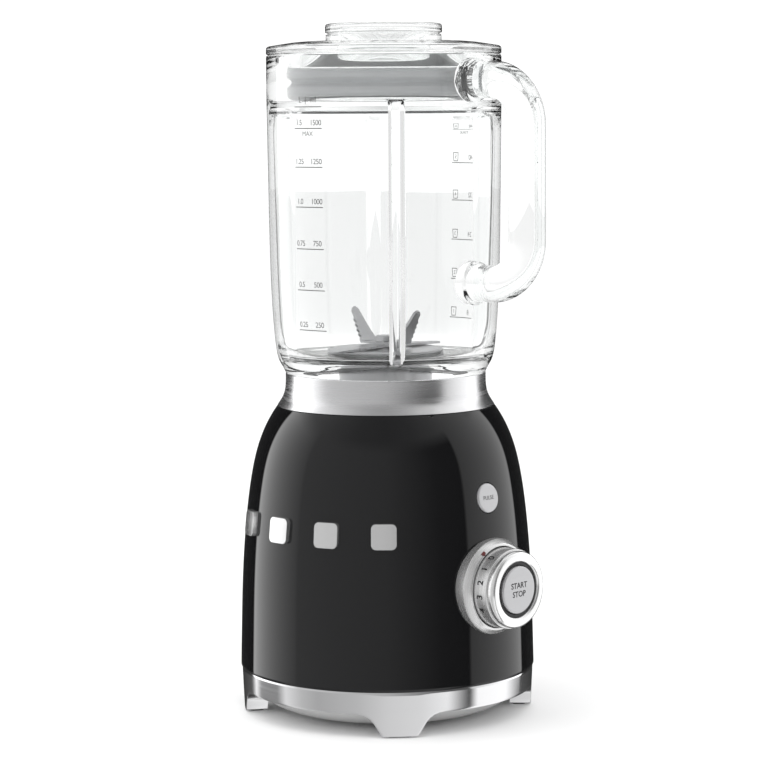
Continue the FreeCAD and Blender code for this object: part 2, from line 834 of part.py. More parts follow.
def blade_nut():
    corner = nut_width / 2 / math.cos(math.radians(30))
    corners = [Vector(corner * math.cos(math.radians(60 * k)), corner * math.sin(math.radians(60 * k)), nut_low())
               for k in range(7)]
    nut = Part.Face(Part.makePolygon(corners)).extrude(Vector(0, 0, nut_height))
    dome = Part.makeCone(nut_width / 2 + 2.4, nut_width / 2 - 0.3, nut_height, Vector(0, 0, nut_low()), UP)
    return nut.common(dome).cut(cylinder(shaft_radius, nut_low() - 1, nut_low() + nut_height - 0.8))


def lid():
    inner = seal_core - plug_wall
    ledge = seal_high + 0.2
    edge_high = lid_low + lid_edge
    top = (lid_radius - 1.6, edge_high)
    edges = [line((cap_hole, lid_low + 2), (inner, lid_low + 2)), line((inner, lid_low + 2), (inner, plug_low)),
             line((inner, plug_low), (seal_core, plug_low)), line((seal_core, plug_low), (seal_core, ledge)),
             line((seal_core, ledge), (seal_lip - 0.4, ledge)),
             line((seal_lip - 0.4, ledge), (seal_lip - 0.4, lid_low)),
             line((seal_lip - 0.4, lid_low), (lid_radius, lid_low)),
             line((lid_radius, lid_low), (lid_radius, edge_high - 1.6)),
             arc((lid_radius, edge_high - 1.6), (lid_radius - 0.47, edge_high - 0.47), top),
             arc(top, (lid_radius - 12.5, lid_top - 0.8), (lid_dome_radius, lid_top)),
             line((lid_dome_radius, lid_top), (cap_hole, lid_top)),
             line((cap_hole, lid_top), (cap_hole, lid_low + 2))]
    return turned_edges(edges)


def lid_seal():
    low = seal_high - seal_height
    middle = low + seal_height / 2
    root = seal_core + 0.8
    lips = [(seal_core, low), (root + 1.5, low)]
    edges = [line(lips[0], lips[1]), arc(lips[1], (seal_lip, low + 2.8), (root + 1.4, low + 5.6)),
             line((root + 1.4, low + 5.6), (root + 0.3, middle)),
             line((root + 0.3, middle), (root + 1.4, seal_high - 5.6)),
             arc((root + 1.4, seal_high - 5.6), (seal_lip, seal_high - 2.8), (root + 1.5, seal_high)),
             line((root + 1.5, seal_high), (seal_core, seal_high)), line((seal_core, seal_high), lips[0])]
    return turned_edges(edges)


def measuring_cap():
    groove = cap_low + 3.5
    inner = cap_skirt_radius - cap_wall
    low = cap_low - cap_skirt_depth
    edges = [line((inner, low), (cap_skirt_radius, low)), line((cap_skirt_radius, low), (cap_skirt_radius, cap_low)),
             line((cap_skirt_radius, cap_low), (cap_radius - 0.3, cap_low)),
             line((cap_radius - 0.3, cap_low), (cap_radius - 0.3, groove)),
             line((cap_radius - 0.3, groove), (cap_radius - 1.4, groove)),
             line((cap_radius - 1.4, groove), (cap_radius - 1.4, groove + 1.1)),
             line((cap_radius - 1.4, groove + 1.1), (cap_radius, groove + 1.1)),
             line((cap_radius, groove + 1.1), (cap_radius, cap_high - 1.0)),
             arc((cap_radius, cap_high - 1.0), (cap_radius - 0.3, cap_high - 0.3), (cap_radius - 1.0, cap_high)),
             line((cap_radius - 1.0, cap_high), (0, cap_high)), line((0, cap_high), (0, cap_high - cap_wall)),
             line((0, cap_high - cap_wall), (inner, cap_high - cap_wall)),
             line((inner, cap_high - cap_wall), (inner, low))]
    return turned_edges(edges)


def knob_bezel():
    inner = dial_radius + 0.55
    ring = turned([(inner, board_back + 5), (bezel_radius, board_back + 5), (bezel_radius, bezel_face - 3.6),
                   (bezel_radius - 2.2, bezel_face - 0.6), (bezel_radius - 2.6, bezel_face), (inner, bezel_face)])
    return along_x(ring, knob_level).cut(shell_volume(0))


def speed_dial():
    skirt = tube(dial_radius, dial_radius - dial_wall, dial_back, dial_front)
    web = tube(dial_radius - 1, stem_bore, dial_back + 7.4, dial_back + 9.4)
    stem = tube(stem_radius, stem_bore, stem_back, dial_back + 9.4)
    return along_x(joined([skirt, web, stem]), knob_level)


def knob_rim():
    low, high = dial_front, rim_front
    ring = turned_edges([line((inset_radius, low), (rim_radius, low)),
                         line((rim_radius, low), (rim_radius, high - 1.8)),
                         arc((rim_radius, high - 1.8), (rim_radius - 0.53, high - 0.53), (rim_radius - 1.8, high)),
                         line((rim_radius - 1.8, high), (inset_radius + 1.2, high)),
                         line((inset_radius + 1.2, high), (inset_radius, high - 0.8)),
                         line((inset_radius, high - 0.8), (inset_radius, low))])
    return along_x(ring, knob_level)


def knob_inset():
    return along_x(tube(inset_radius, start_radius + start_clear, dial_front, rim_front - 1.6), knob_level)


def start_button():
    high = rim_front
    face = start_radius
    cap = turned_edges([line((0, high - 5.0), (face, high - 5.0)), line((face, high - 5.0), (face, high - 0.8)),
                        arc((face, high - 0.8), (face - 0.23, high - 0.23), (face - 0.8, high)),
                        line((face - 0.8, high), (0, high)), line((0, high), (0, high - 5.0))])
    stem = cylinder(stem_bore - slip, stem_back + 1.0, high - 4.5)
    return along_x(cap.fuse(stem).removeSplitter(), knob_level)


def board_front():
    return board_back + board_thickness


def control_board():
    board = box(board_back, board_front(), -board_half, board_half, board_low, board_high)
    block = box(board_back - 11, board_back, -24, -8, board_low + 4, board_low + 26)
    heat_sink = box(board_back - 8, board_back, 10, 26, board_low + 4, board_low + 30)
    return joined([board, block, heat_sink])


def board_brackets():
    """Two plastic uprights that carry the board from the chassis."""
    one = box(board_back, board_back + 7, 21, 27, chassis_top, board_low)
    slot = box(board_back + 0.0, board_front(), 20, 28, board_low - 4, board_low)
    post = one.cut(slot).fuse(box(board_front(), board_back + 7, 21, 27, chassis_top, board_low + 10))
    mirrored = post.copy()
    mirrored = mirrored.mirror(Vector(0, 0, 0), Vector(0, 1, 0))
    return Part.makeCompound([post.removeSplitter(), mirrored.removeSplitter()])


def speed_control():
    """Rotary control on the board, round the knob's hollow stem."""
    front = stem_back + 4.5
    body = box(board_front(), front, -13, 13, knob_level - 13, knob_level + 13)
    return body.cut(along_x(cylinder(stem_hole, board_front() - 1, front + 1), knob_level))


def start_switch():
    front = stem_back + 1.0 - start_travel - 0.4
    body = box(board_front(), front - 1.2, -3, 3, knob_level - 3, knob_level + 3)
    return body.fuse(along_x(cylinder(1.6, board_front(), front), knob_level))


def pulse_button():
    back = -6.5
    cap = turned_edges([line((0, back), (pulse_radius, back)), line((pulse_radius, back), (pulse_radius, -0.3)),
                        arc((pulse_radius, -0.3), (pulse_radius - 0.23, 0.27), (pulse_radius - 0.8, 0.5)),
                        line((pulse_radius - 0.8, 0.5), (0, 0.5)), line((0, 0.5), (0, back))])
    stem = cylinder(3.0, -guide_depth + pulse_travel + 2.6, back + 0.5)
    return pulse_place(cap.fuse(stem).removeSplitter())


def pulse_guide():
    bore = pulse_radius + pulse_clear
    sleeve = tube(bore + guide_wall, bore, -guide_depth, 5)
    return pulse_place(sleeve).common(shell_volume(-shell_wall))


def pulse_switch():
    disc = cylinder(pulse_radius + pulse_clear + guide_wall, -guide_depth - 1.6, -guide_depth)
    return pulse_place(disc.fuse(cylinder(3.0, -guide_depth, -guide_depth + 2.2)))


def trim_pieces():
    half = trim_size / 2
    plate = box(50, 100, -half, half, trim_level - half, trim_level + half)
    plate = plate.makeFillet(2.6, [e for e in plate.Edges if abs(e.tangentAt(e.FirstParameter).x) > 0.9])
    piece = plate.common(shell_volume(trim_relief)).cut(shell_volume(0))
    first = trim_centre - trim_pitch * (trim_count - 1) / 2
    return Part.makeCompound([around(piece, first + trim_pitch * k) for k in range(trim_count)])


def interlock_switch():
    high = shell_top - lip_thickness
    body = box(pin_circle - 8, pin_circle + 4.5, -5.5, 5.5, high - 16, high)
    room = cylinder(pin_radius + 1.6, high - 12, high - 2.5, pin_circle, 0)
    hole = cylinder(pin_radius + slip, high - 14, high + 1, pin_circle, 0)
    return around(body.cut(room).cut(hole), pin_angle)


def interlock_pin():
    top = spigot_low - rest_gap
    pin = cylinder(pin_radius, top - pin_length, top, pin_circle, 0)
    flange_low = shell_top - lip_thickness - 9.0
    flange = cylinder(pin_radius + 1.2, flange_low, flange_low + 1.2, pin_circle, 0)
    return around(pin.fuse(flange).removeSplitter(), pin_angle)


def cable_gland():
    """Rubber gland through the back of the ring, with a flange on each side of its wall."""
    def disc(radius, start, end):
        return Part.makeCylinder(radius, start - end, Vector(-start, 0, gland_level), OUT)

    face = shell_radii[0] - 0.1
    body = disc(gland_flange, face, ring_radius - 3.0).fuse(disc(gland_radius, face, pan_radius - 5))
    body = body.fuse(disc(gland_flange, ring_radius - 3.5, pan_radius + 0.5)).removeSplitter()
    wall = ring_cone(ring_radius - ring_taper - ring_wall, 0, ring_top + 1)
    body = body.cut(wall.cut(gland_hole(ring_radius + 2, ring_radius - 12)))
    return body.cut(disc(gland_bore, face + 1, pan_radius - 8))


def main():
    os.makedirs("parts", exist_ok=True)
    save("body_shell", body_shell())
    save("base_ring", base_ring())
    save("foot_pads", foot_pads())
    save("bottom_pan", bottom_pan())
    save("pan_screws", pan_screws())
    save("chassis", chassis())
    save("chassis_screws", chassis_screws())
    save("motor_dampers", dampers())
    save("mount_screws", mount_screws())
    save("lower_bracket", lower_bracket())
    save("upper_bracket", upper_bracket())
    save("motor_bolts", motor_bolts())
    save("lower_bearing", bearing(bracket_low + 4))
    save("upper_bearing", bearing(bracket_high + 1))
    save("stator", stator())
    save("field_coils", field_coils())
    save("brush_carrier", brush_carrier())
    save("brush_holders", brush_holders())
    save("carbon_brushes", brushes())
    save("motor_shaft", motor_shaft())
    save("rotor_core", rotor_core())
    save("rotor_windings", rotor_windings())
    save("commutator", commutator())
    save("cooling_fan", cooling_fan())
    save("drive_coupling", drive_coupling())
    save("collar", collar())
    save("jug_seat", jug_seat())
    save("seat_screws", seat_screws())
    save("control_board", control_board())
    save("board_brackets", board_brackets())
    save("speed_control", speed_control())
    save("start_switch", start_switch())
    save("knob_bezel", knob_bezel())
    save("speed_dial", speed_dial())
    save("knob_rim", knob_rim())
    save("knob_inset", knob_inset())
    save("start_button", start_button())
    save("pulse_guide", pulse_guide())
    save("pulse_switch", pulse_switch())
    save("pulse_button", pulse_button())
    save("trim_pieces", trim_pieces())
    save("interlock_switch", interlock_switch())
    save("interlock_pin", interlock_pin())
    save("cable_gland", cable_gland())
    save("jug", jug())
    save("jug_handle", jug_handle())
    save("blade_base", blade_base())
    save("blade_gasket", blade_gasket())
    save("lock_ring", lock_ring())
    save("blade_bush", blade_bush())
    save("shaft_seal", shaft_seal())
    save("blade_shaft", blade_shaft())
    save("lower_blades", lower_blades())
    save("upper_blades", upper_blades())
    save("blade_nut", blade_nut())
    save("driven_coupling", driven_coupling())
    save("lid", lid())
    save("lid_seal", lid_seal())
    save("measuring_cap", measuring_cap())


main()
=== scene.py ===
import bpy
import bmesh
import json
import math
import numpy as np
from mathutils import Matrix, Vector


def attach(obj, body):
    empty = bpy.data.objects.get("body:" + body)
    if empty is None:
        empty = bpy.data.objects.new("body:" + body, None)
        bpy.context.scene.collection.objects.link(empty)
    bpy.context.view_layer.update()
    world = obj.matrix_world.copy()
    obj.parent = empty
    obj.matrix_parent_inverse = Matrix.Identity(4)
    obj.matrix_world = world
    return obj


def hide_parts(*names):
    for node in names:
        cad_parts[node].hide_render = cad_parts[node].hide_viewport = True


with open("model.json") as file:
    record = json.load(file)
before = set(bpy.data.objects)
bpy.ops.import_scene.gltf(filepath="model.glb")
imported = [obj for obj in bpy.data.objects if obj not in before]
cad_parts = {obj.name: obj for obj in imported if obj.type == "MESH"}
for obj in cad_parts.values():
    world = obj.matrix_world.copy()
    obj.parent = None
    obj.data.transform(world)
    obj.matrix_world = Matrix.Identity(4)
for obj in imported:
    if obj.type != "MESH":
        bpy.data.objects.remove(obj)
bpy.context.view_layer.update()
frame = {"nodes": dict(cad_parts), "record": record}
nodes = frame["nodes"]
MM = 0.001


# ---- Studio ---------------------------------------------------------------
# A plain white floor under a white surround. Bright panels to the left and the right of the camera,
# with dark bands between them, are painted into the world's colour for reflection rays only: painted
# reflections that show as two tall streaks in gloss paint.
view_turn = 44.3
camera_far, camera_high = 1.409, 0.326
camera_pitch, camera_roll = 5.92, 0.0063

camera_data = bpy.data.cameras.new("camera")
camera_data.sensor_width = 36.0
camera_data.lens = 120.5
camera_data.shift_x = -0.0075
camera_data.clip_start = 0.05
camera = bpy.data.objects.new("camera", camera_data)
side = math.radians(view_turn - 90)
camera.location = (camera_far * math.cos(side), camera_far * math.sin(side), camera_high)
aim = (Matrix.Rotation(math.radians(view_turn), 4, "Z")
       @ Matrix.Rotation(math.radians(90 - camera_pitch), 4, "X"))
camera.rotation_euler = (aim @ Matrix.Rotation(-camera_roll, 4, "Z")).to_euler()
bpy.context.scene.collection.objects.link(camera)
bpy.context.scene.camera = camera
bpy.context.scene.view_settings.view_transform = "Standard"
bpy.context.scene.cycles.max_bounces = 40
bpy.context.scene.cycles.transmission_bounces = 40
bpy.context.scene.cycles.glossy_bounces = 12


def nodes_of(owner):
    owner.use_nodes = True
    tree = owner.node_tree
    tree.nodes.clear()
    return tree


def put(tree, kind, **settings):
    node = tree.nodes.new(kind)
    for key, value in settings.items():
        setattr(node, key, value)
    return node


def maths(tree, operation, a, b=0.0, c=0.0):
    node = put(tree, "ShaderNodeMath", operation=operation)
    for socket, value in zip(node.inputs, (a, b, c)):
        if isinstance(value, (int, float)):
            socket.default_value = value
        else:
            tree.links.new(value, socket)
    return node.outputs[0]


def ramp(tree, value, stops, smooth=False):
    node = put(tree, "ShaderNodeValToRGB")
    node.color_ramp.interpolation = "EASE" if smooth else "LINEAR"
    elements = node.color_ramp.elements
    while len(elements) < len(stops):
        elements.new(0.5)
    for element, (place, grey) in zip(elements, stops):
        element.position = place
        colour = grey if isinstance(grey, tuple) else (grey, grey, grey)
        element.color = (*colour, 1.0)
    tree.links.new(value, node.inputs[0])
    return node.outputs[0]


world = bpy.data.worlds.new("studio")
bpy.context.scene.world = world
sky = nodes_of(world)
direction = put(sky, "ShaderNodeTexCoord").outputs["Generated"]
split = put(sky, "ShaderNodeSeparateXYZ")
sky.links.new(direction, split.inputs[0])
bearing = maths(sky, "ARCTAN2", split.outputs[1], split.outputs[0])
turned = maths(sky, "ADD", maths(sky, "DIVIDE", bearing, 2 * math.pi), (90 - view_turn) / 360 + 0.5)
place = maths(sky, "FRACT", maths(sky, "ADD", turned, 1.0))
level = ramp(sky, place, [(0.0, 0.012), (0.138, 0.012), (0.142, 0.95), (0.286, 0.30), (0.292, 0.235),
                          (0.50, 0.17), (0.62, 0.045), (0.685, 0.03), (0.691, 0.26), (0.858, 0.60),
                          (0.863, 0.012), (1.0, 0.012)])
low = ramp(sky, place, [(0.0, 0.02), (0.12, 0.05), (0.14, 0.35), (0.165, 0.09), (0.228, 0.10),
(0.254, 0.30),
                        (0.30, 0.20), (0.341, 0.162), (0.434, 0.20), (0.50, 0.26), (0.575, 0.29),
                        (0.635, 0.36),
                        (0.668, 0.14), (0.69, 0.02), (0.711, 0.42), (0.80, 0.45), (0.86, 0.04),
                        (1.0, 0.02)])
high = ramp(sky, place, [(0.0, 0.40), (0.11, 0.10), (0.14, 0.03), (0.165, 0.10), (0.19, 0.41),
(0.265, 0.28),
                         (0.326, 0.21), (0.407, 0.14), (0.50, 0.116), (0.58, 0.14), (0.66, 0.22),
                         (0.752, 0.36),
                         (0.789, 0.41), (0.833, 0.15), (0.89, 0.12), (1.0, 0.40)])
height = maths(sky, "DIVIDE", maths(sky, "ARCSINE", split.outputs[2]), math.pi / 180)


def between(start, end):
    """0 below the first elevation in degrees and 1 above the second."""
    node = put(sky, "ShaderNodeMapRange")
    sky.links.new(height, node.inputs["Value"])
    node.inputs["From Min"].default_value = start
    node.inputs["From Max"].default_value = end
    return node.outputs[0]


def blend(amount, first, second):
    node = put(sky, "ShaderNodeMix", data_type="RGBA")
    sky.links.new(amount, node.inputs["Factor"])
    sky.links.new(first, node.inputs[6])
    sky.links.new(second, node.inputs[7])
    return node.outputs[2]


# Painted reflection: glossy rays see the bands painted by bearing and elevation in the ramps above.
# Camera and diffuse rays see plain white.
painted_reflection_sky = put(sky, "ShaderNodeBackground")
sky.links.new(blend(between(32, 42), blend(between(-15, -12), low, level), high), painted_reflection_sky.inputs[0])
painted_reflection_sky.inputs[1].default_value = 2.7
rays = put(sky, "ShaderNodeLightPath")
# Painted shade: the white seen through the clear plastic is painted darker towards the middle of the
# view, down to 0.66.
painted_shade_behind_glass = ramp(sky, place, [(0.0, 1.0), (0.22, 1.0), (0.36, 0.80), (0.5, 0.66), (0.64, 0.80),
(0.78, 1.0),
                                 (1.0, 1.0)])
plain = put(sky, "ShaderNodeRGB")
plain.outputs[0].default_value = (1, 1, 1, 1)
passed = maths(sky, "MINIMUM", rays.outputs["Transmission Depth"], 1.0)
white = put(sky, "ShaderNodeBackground")
sky.links.new(blend(passed, plain.outputs[0], painted_shade_behind_glass), white.inputs[0])
white.inputs[1].default_value = 1.12
either = put(sky, "ShaderNodeMixShader")
outside = maths(sky, "LESS_THAN", rays.outputs["Transmission Depth"], 0.5)
sky.links.new(maths(sky, "MULTIPLY", rays.outputs["Is Glossy Ray"], outside), either.inputs[0])
sky.links.new(white.outputs[0], either.inputs[1])
sky.links.new(painted_reflection_sky.outputs[0], either.inputs[2])
sky.links.new(either.outputs[0], put(sky, "ShaderNodeOutputWorld").inputs[0])

floor_mesh = bpy.data.meshes.new("floor")
floor_mesh.from_pydata([(-6, -6, 0), (6, -6, 0), (6, 6, 0), (-6, 6, 0)], [], [(0, 1, 2, 3)])
floor = bpy.data.objects.new("floor", floor_mesh)
bpy.context.scene.collection.objects.link(floor)
floor.visible_glossy = False
paper = bpy.data.materials.new("white_paper")
sheet = nodes_of(paper)
matt = put(sheet, "ShaderNodeBsdfPrincipled")
matt.inputs["Base Color"].default_value = (0.93, 0.93, 0.93, 1)
matt.inputs["Roughness"].default_value = 0.9
matt.inputs["Specular IOR Level"].default_value = 0.0
sheet.links.new(matt.outputs[0], put(sheet, "ShaderNodeOutputMaterial").inputs[0])
floor_mesh.materials.append(paper)


def area_light(name, place, size, power, target=(0, 0, 0.2)):
    data = bpy.data.lights.new(name, "AREA")
    data.shape = "RECTANGLE"
    data.size, data.size_y = size
    data.energy = power
    lamp = bpy.data.objects.new(name, data)
    lamp.location = place
    lamp.rotation_euler = (Vector(target) - Vector(place)).to_track_quat("-Z", "Y").to_euler()
    lamp.visible_glossy = False
    lamp.visible_transmission = False
    bpy.context.scene.collection.objects.link(lamp)


area_light("top_panel", (0.1, -0.2, 1.6), (1.6, 1.6), 9.0)
area_light("left_panel", (-1.1, -1.1, 0.9), (0.7, 1.4), 5.0)


# ---- Base shell -----------------------------------------------------------
# Die-cast aluminium in one bell-shaped piece, enamelled gloss black and clear coated.
# Holes for the knob's stem and the pulse button are drilled before it is painted.
shell_radii = [81.3, 80.9, 79.7, 77.4, 74.2, 69.8, 66.1, 61.0, 59.6]
shell_levels = [0.0, 17.1, 53.1, 83.1, 106.6, 124.3, 133.2, 142.0, 144.0]
ring_top = 24.9
shell_top = ring_top + shell_levels[-1]


def smooth_through(points, per_span):
    """Points of a natural cubic through the given ones, spaced by the chord."""
    data = np.array(points, dtype=float)
    chord = np.concatenate([[0], np.cumsum(np.linalg.norm(np.diff(data, axis=0), axis=1))])
    count = len(data)
    system = np.eye(count)
    right = np.zeros_like(data)
    for k in range(1, count - 1):
        a, b = chord[k] - chord[k - 1], chord[k + 1] - chord[k]
        system[k, k - 1:k + 2] = (a, 2 * (a + b), b)
        right[k] = 6 * ((data[k + 1] - data[k]) / b - (data[k] - data[k - 1]) / a)
    bend = np.linalg.solve(system, right)
    result = []
    for k in range(count - 1):
        span = chord[k + 1] - chord[k]
        for step in range(per_span):
            t = step / per_span * span
            slope = (data[k + 1] - data[k]) / span - span * (2 * bend[k] + bend[k + 1]) / 6
            result.append(data[k] + slope * t + bend[k] * t * t / 2
                          + (bend[k + 1] - bend[k]) * t ** 3 / (6 * span))
    return [tuple(p) for p in result] + [tuple(data[-1])]


def rounded(points, radius, steps=5):
    """The outline with each inner corner replaced by a small arc-like curve."""
    result = [points[0]]
    for before, corner, after in zip(points, points[1:], points[2:]):
        a, b, c = (np.array(p, dtype=float) for p in (before, corner, after))
        first, second = a - b, c - b
        reach = min(radius, np.linalg.norm(first) * 0.45, np.linalg.norm(second) * 0.45)
        start = b + first / np.linalg.norm(first) * reach
        end = b + second / np.linalg.norm(second) * reach
        for step in range(steps + 1):
            t = step / steps
            result.append(tuple((1 - t) ** 2 * start + 2 * t * (1 - t) * b + t * t * end))
    return result + [points[-1]]


def add_object(name, vertices, faces, body, material=None, angle=35.0):
    mesh = bpy.data.meshes.new(name)
    mesh.from_pydata([tuple(v) for v in vertices], [], faces)
    mesh.validate()
    work = bmesh.new()
    work.from_mesh(mesh)
    bmesh.ops.remove_doubles(work, verts=work.verts, dist=1e-7)
    bmesh.ops.recalc_face_normals(work, faces=work.faces)
    work.to_mesh(mesh)
    work.free()
    mesh.shade_smooth()
    mesh.set_sharp_from_angle(angle=math.radians(angle))
    piece = bpy.data.objects.new(name, mesh)
    bpy.context.scene.collection.objects.link(piece)
    if material:
        mesh.materials.append(material)
    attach(piece, body)
    return piece


def lathe(name, outline, body, material, segments=256, closed=True, place=None, angle=35.0):
    """Turn a (radius, height) outline in mm about Z, or about the axis that place gives."""
    rows = len(outline)
    vertices = []
    for r, z in outline:
        for k in range(segments):
            turn = 2 * math.pi * k / segments
            vertices.append(Vector((r * math.cos(turn), r * math.sin(turn), z)) * MM)
    if place:
        vertices = [place @ v for v in vertices]
    faces = []
    for row in range(rows if closed else rows - 1):
        after = (row + 1) % rows
        for k in range(segments):
            right = (k + 1) % segments
            faces.append((row * segments + k, row * segments + right,
                          after * segments + right, after * segments + k))
    return add_object(name, vertices, faces, body, material, angle)


def group(name, inputs, outputs):
    """An empty shader node group with named sockets."""
    tree = bpy.data.node_groups.new(name, "ShaderNodeTree")
    for label, kind, value in inputs:
        socket = tree.interface.new_socket(label, in_out="INPUT", socket_type=kind)
        socket.default_value = value
    for label, kind in outputs:
        tree.interface.new_socket(label, in_out="OUTPUT", socket_type=kind)
    return tree, tree.nodes.new("NodeGroupInput"), tree.nodes.new("NodeGroupOutput")


def link(tree, source, target):
    tree.links.new(source, target)


# Fine dust and handling marks: a slow mottle in roughness and a little bump.
handled, handled_in, handled_out = group(
    "handling_marks", [("Scale", "NodeSocketFloat", 60.0), ("Low", "NodeSocketFloat", 0.05),
                       ("High", "NodeSocketFloat", 0.1), ("Bump", "NodeSocketFloat", 0.02)],
    [("Roughness", "NodeSocketFloat"), ("Normal", "NodeSocketVector")])
place_in = put(handled, "ShaderNodeTexCoord").outputs["Object"]
mottle = put(handled, "ShaderNodeTexNoise")
mottle.inputs["Detail"].default_value = 6.0
link(handled, place_in, mottle.inputs["Vector"])
link(handled, handled_in.outputs["Scale"], mottle.inputs["Scale"])
spread = put(handled, "ShaderNodeMapRange")
link(handled, mottle.outputs["Fac"], spread.inputs["Value"])
spread.inputs["From Min"].default_value = 0.3
spread.inputs["From Max"].default_value = 0.7
link(handled, handled_in.outputs["Low"], spread.inputs["To Min"])
link(handled, handled_in.outputs["High"], spread.inputs["To Max"])
link(handled, spread.outputs[0], handled_out.inputs["Roughness"])
relief = put(handled, "ShaderNodeBump")
relief.inputs["Distance"].default_value = 0.0002
link(handled, handled_in.outputs["Bump"], relief.inputs["Strength"])
link(handled, mottle.outputs["Fac"], relief.inputs["Height"])
link(handled, relief.outputs[0], handled_out.inputs["Normal"])

# Brushed grain: long streaks that follow a turned or a straight surface.
grain, grain_in, grain_out = group(
    "brushed_grain", [("Stretch", "NodeSocketVector", (8.0, 8.0, 900.0)), ("Low", "NodeSocketFloat", 0.2),
                      ("High", "NodeSocketFloat", 0.32), ("Bump", "NodeSocketFloat", 0.1)],
    [("Roughness", "NodeSocketFloat"), ("Streak", "NodeSocketFloat"), ("Normal", "NodeSocketVector")])
stretch = put(grain, "ShaderNodeVectorMath", operation="MULTIPLY")
link(grain, put(grain, "ShaderNodeTexCoord").outputs["Object"], stretch.inputs[0])
link(grain, grain_in.outputs["Stretch"], stretch.inputs[1])
streaks = put(grain, "ShaderNodeTexNoise")
streaks.inputs["Scale"].default_value = 1.0
streaks.inputs["Detail"].default_value = 4.0
link(grain, stretch.outputs[0], streaks.inputs["Vector"])
reach = put(grain, "ShaderNodeMapRange")
link(grain, streaks.outputs["Fac"], reach.inputs["Value"])
reach.inputs["From Min"].default_value = 0.3
reach.inputs["From Max"].default_value = 0.7
link(grain, grain_in.outputs["Low"], reach.inputs["To Min"])
link(grain, grain_in.outputs["High"], reach.inputs["To Max"])
link(grain, reach.outputs[0], grain_out.inputs["Roughness"])
link(grain, streaks.outputs["Fac"], grain_out.inputs["Streak"])
ridges = put(grain, "ShaderNodeBump")
ridges.inputs["Distance"].default_value = 0.0001
link(grain, grain_in.outputs["Bump"], ridges.inputs["Strength"])
link(grain, streaks.outputs["Fac"], ridges.inputs["Height"])
link(grain, ridges.outputs[0], grain_out.inputs["Normal"])


def material(name, colour, metallic=0.0, effect=None, settings=None, **sockets):
    """A Principled material whose roughness and normal come from a shared effect group."""
    made = bpy.data.materials.new(name)
    tree = nodes_of(made)
    shader = put(tree, "ShaderNodeBsdfPrincipled")
    shader.inputs["Base Color"].default_value = (*colour, 1)
    shader.inputs["Metallic"].default_value = metallic
    for key, value in sockets.items():
        shader.inputs[key.replace("_", " ")].default_value = value
    if effect:
        used = put(tree, "ShaderNodeGroup", node_tree=effect)
        for key, value in (settings or {}).items():
            used.inputs[key].default_value = value
        link(tree, used.outputs["Roughness"], shader.inputs["Roughness"])
        link(tree, used.outputs["Normal"], shader.inputs["Normal"])
    link(tree, shader.outputs[0], put(tree, "ShaderNodeOutputMaterial").inputs[0])
    return made


black_enamel = material("black_enamel", (0.004, 0.004, 0.0045), 0.0, handled,
                        {"Scale": 35.0, "Low": 0.008, "High": 0.02, "Bump": 0.002}, IOR=1.5,
                        Coat_Weight=0.0)
outer = smooth_through(list(zip(shell_radii, [ring_top + z for z in shell_levels])), 12)
outer = [(r, z) for r, z in outer if z < shell_top - 0.01]
foot_round = [(81.0, ring_top + 0.05), (81.25, ring_top + 0.5)]
inner = [(r - 2.5, z) for r, z in reversed(outer) if z > ring_top + 0.6]
shell_outline = ([(80.5, ring_top)] + foot_round + outer[1:] + [(59.6, shell_top - 0.2),
                  (59.2, shell_top)]
                 + [(57.2, shell_top), (57.0, shell_top - 2.4)] + inner + [(79.0, ring_top)])
shell = lathe("base_shell", shell_outline, "base", black_enamel, segments=320)
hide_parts("body_shell")

pulse_tilt = 9.5
pulse_place = (Matrix.Translation(Vector((75.45, 0, 124.0)) * MM)
               @ Matrix.Rotation(math.radians(90 - pulse_tilt), 4, "Y"))
knob_place = Matrix.Translation(Vector((0, 0, 77.0)) * MM) @ Matrix.Rotation(math.radians(90), 4, "Y")


def drill(piece, radius, low, high, place):
    """Cut a round hole through a piece, along the Z axis of place."""
    cutter = bpy.data.meshes.new("drill")
    work = bmesh.new()
    bmesh.ops.create_cone(work, cap_ends=True, segments=96, radius1=radius * MM, radius2=radius * MM,
                          depth=(high - low) * MM,
                          matrix=place @ Matrix.Translation((0, 0, (low + high) / 2 * MM)))
    work.to_mesh(cutter)
    work.free()
    tool = bpy.data.objects.new("drill", cutter)
    bpy.context.scene.collection.objects.link(tool)
    cut = piece.modifiers.new("hole", "BOOLEAN")
    cut.object = tool
    cut.operation = "DIFFERENCE"
    cut.solver = "EXACT"
    bpy.context.view_layer.update()
    graph = bpy.context.evaluated_depsgraph_get()
    drilled = bpy.data.meshes.new_from_object(piece.evaluated_get(graph))
    piece.modifiers.clear()
    old = piece.data
    piece.data = drilled
    drilled.shade_smooth()
    drilled.set_sharp_from_angle(angle=math.radians(35))
    bpy.data.meshes.remove(old)
    bpy.data.objects.remove(tool)


drill(shell, 8.4, -12, 12, pulse_place)
drill(shell, 7.9, 60, 95, knob_place)


# ---- Collar ---------------------------------------------------------------
# A spun ring with a hollow waist, polished and lightly satin finished. It sits on the
# shell's top and carries the jug's rim.
satin_metal = material("satin_metal", (0.82, 0.82, 0.83), 1.0, grain,
                       {"Stretch": (6.0, 6.0, 500.0), "Low": 0.22, "High": 0.30, "Bump": 0.03})
waist = smooth_through([(59.55, shell_top + 0.3), (58.9, 170.2), (56.9, 173.5), (55.7, 176.8),
                        (55.1, 181.5),
                        (55.0, 186.5)], 8)
collar_outline = ([(59.2, shell_top)] + waist + [(54.8, 186.9), (54.4, 187.0), (52.2, 187.0),
                   (52.0, 186.6),
                  (52.0, 185.4), (53.4, 185.0), (53.4, 181.5), (54.2, 176.8), (55.4, 173.5),
                  (57.2, shell_top)])
collar = lathe("collar_ring", collar_outline, "base", satin_metal)
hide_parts("collar")


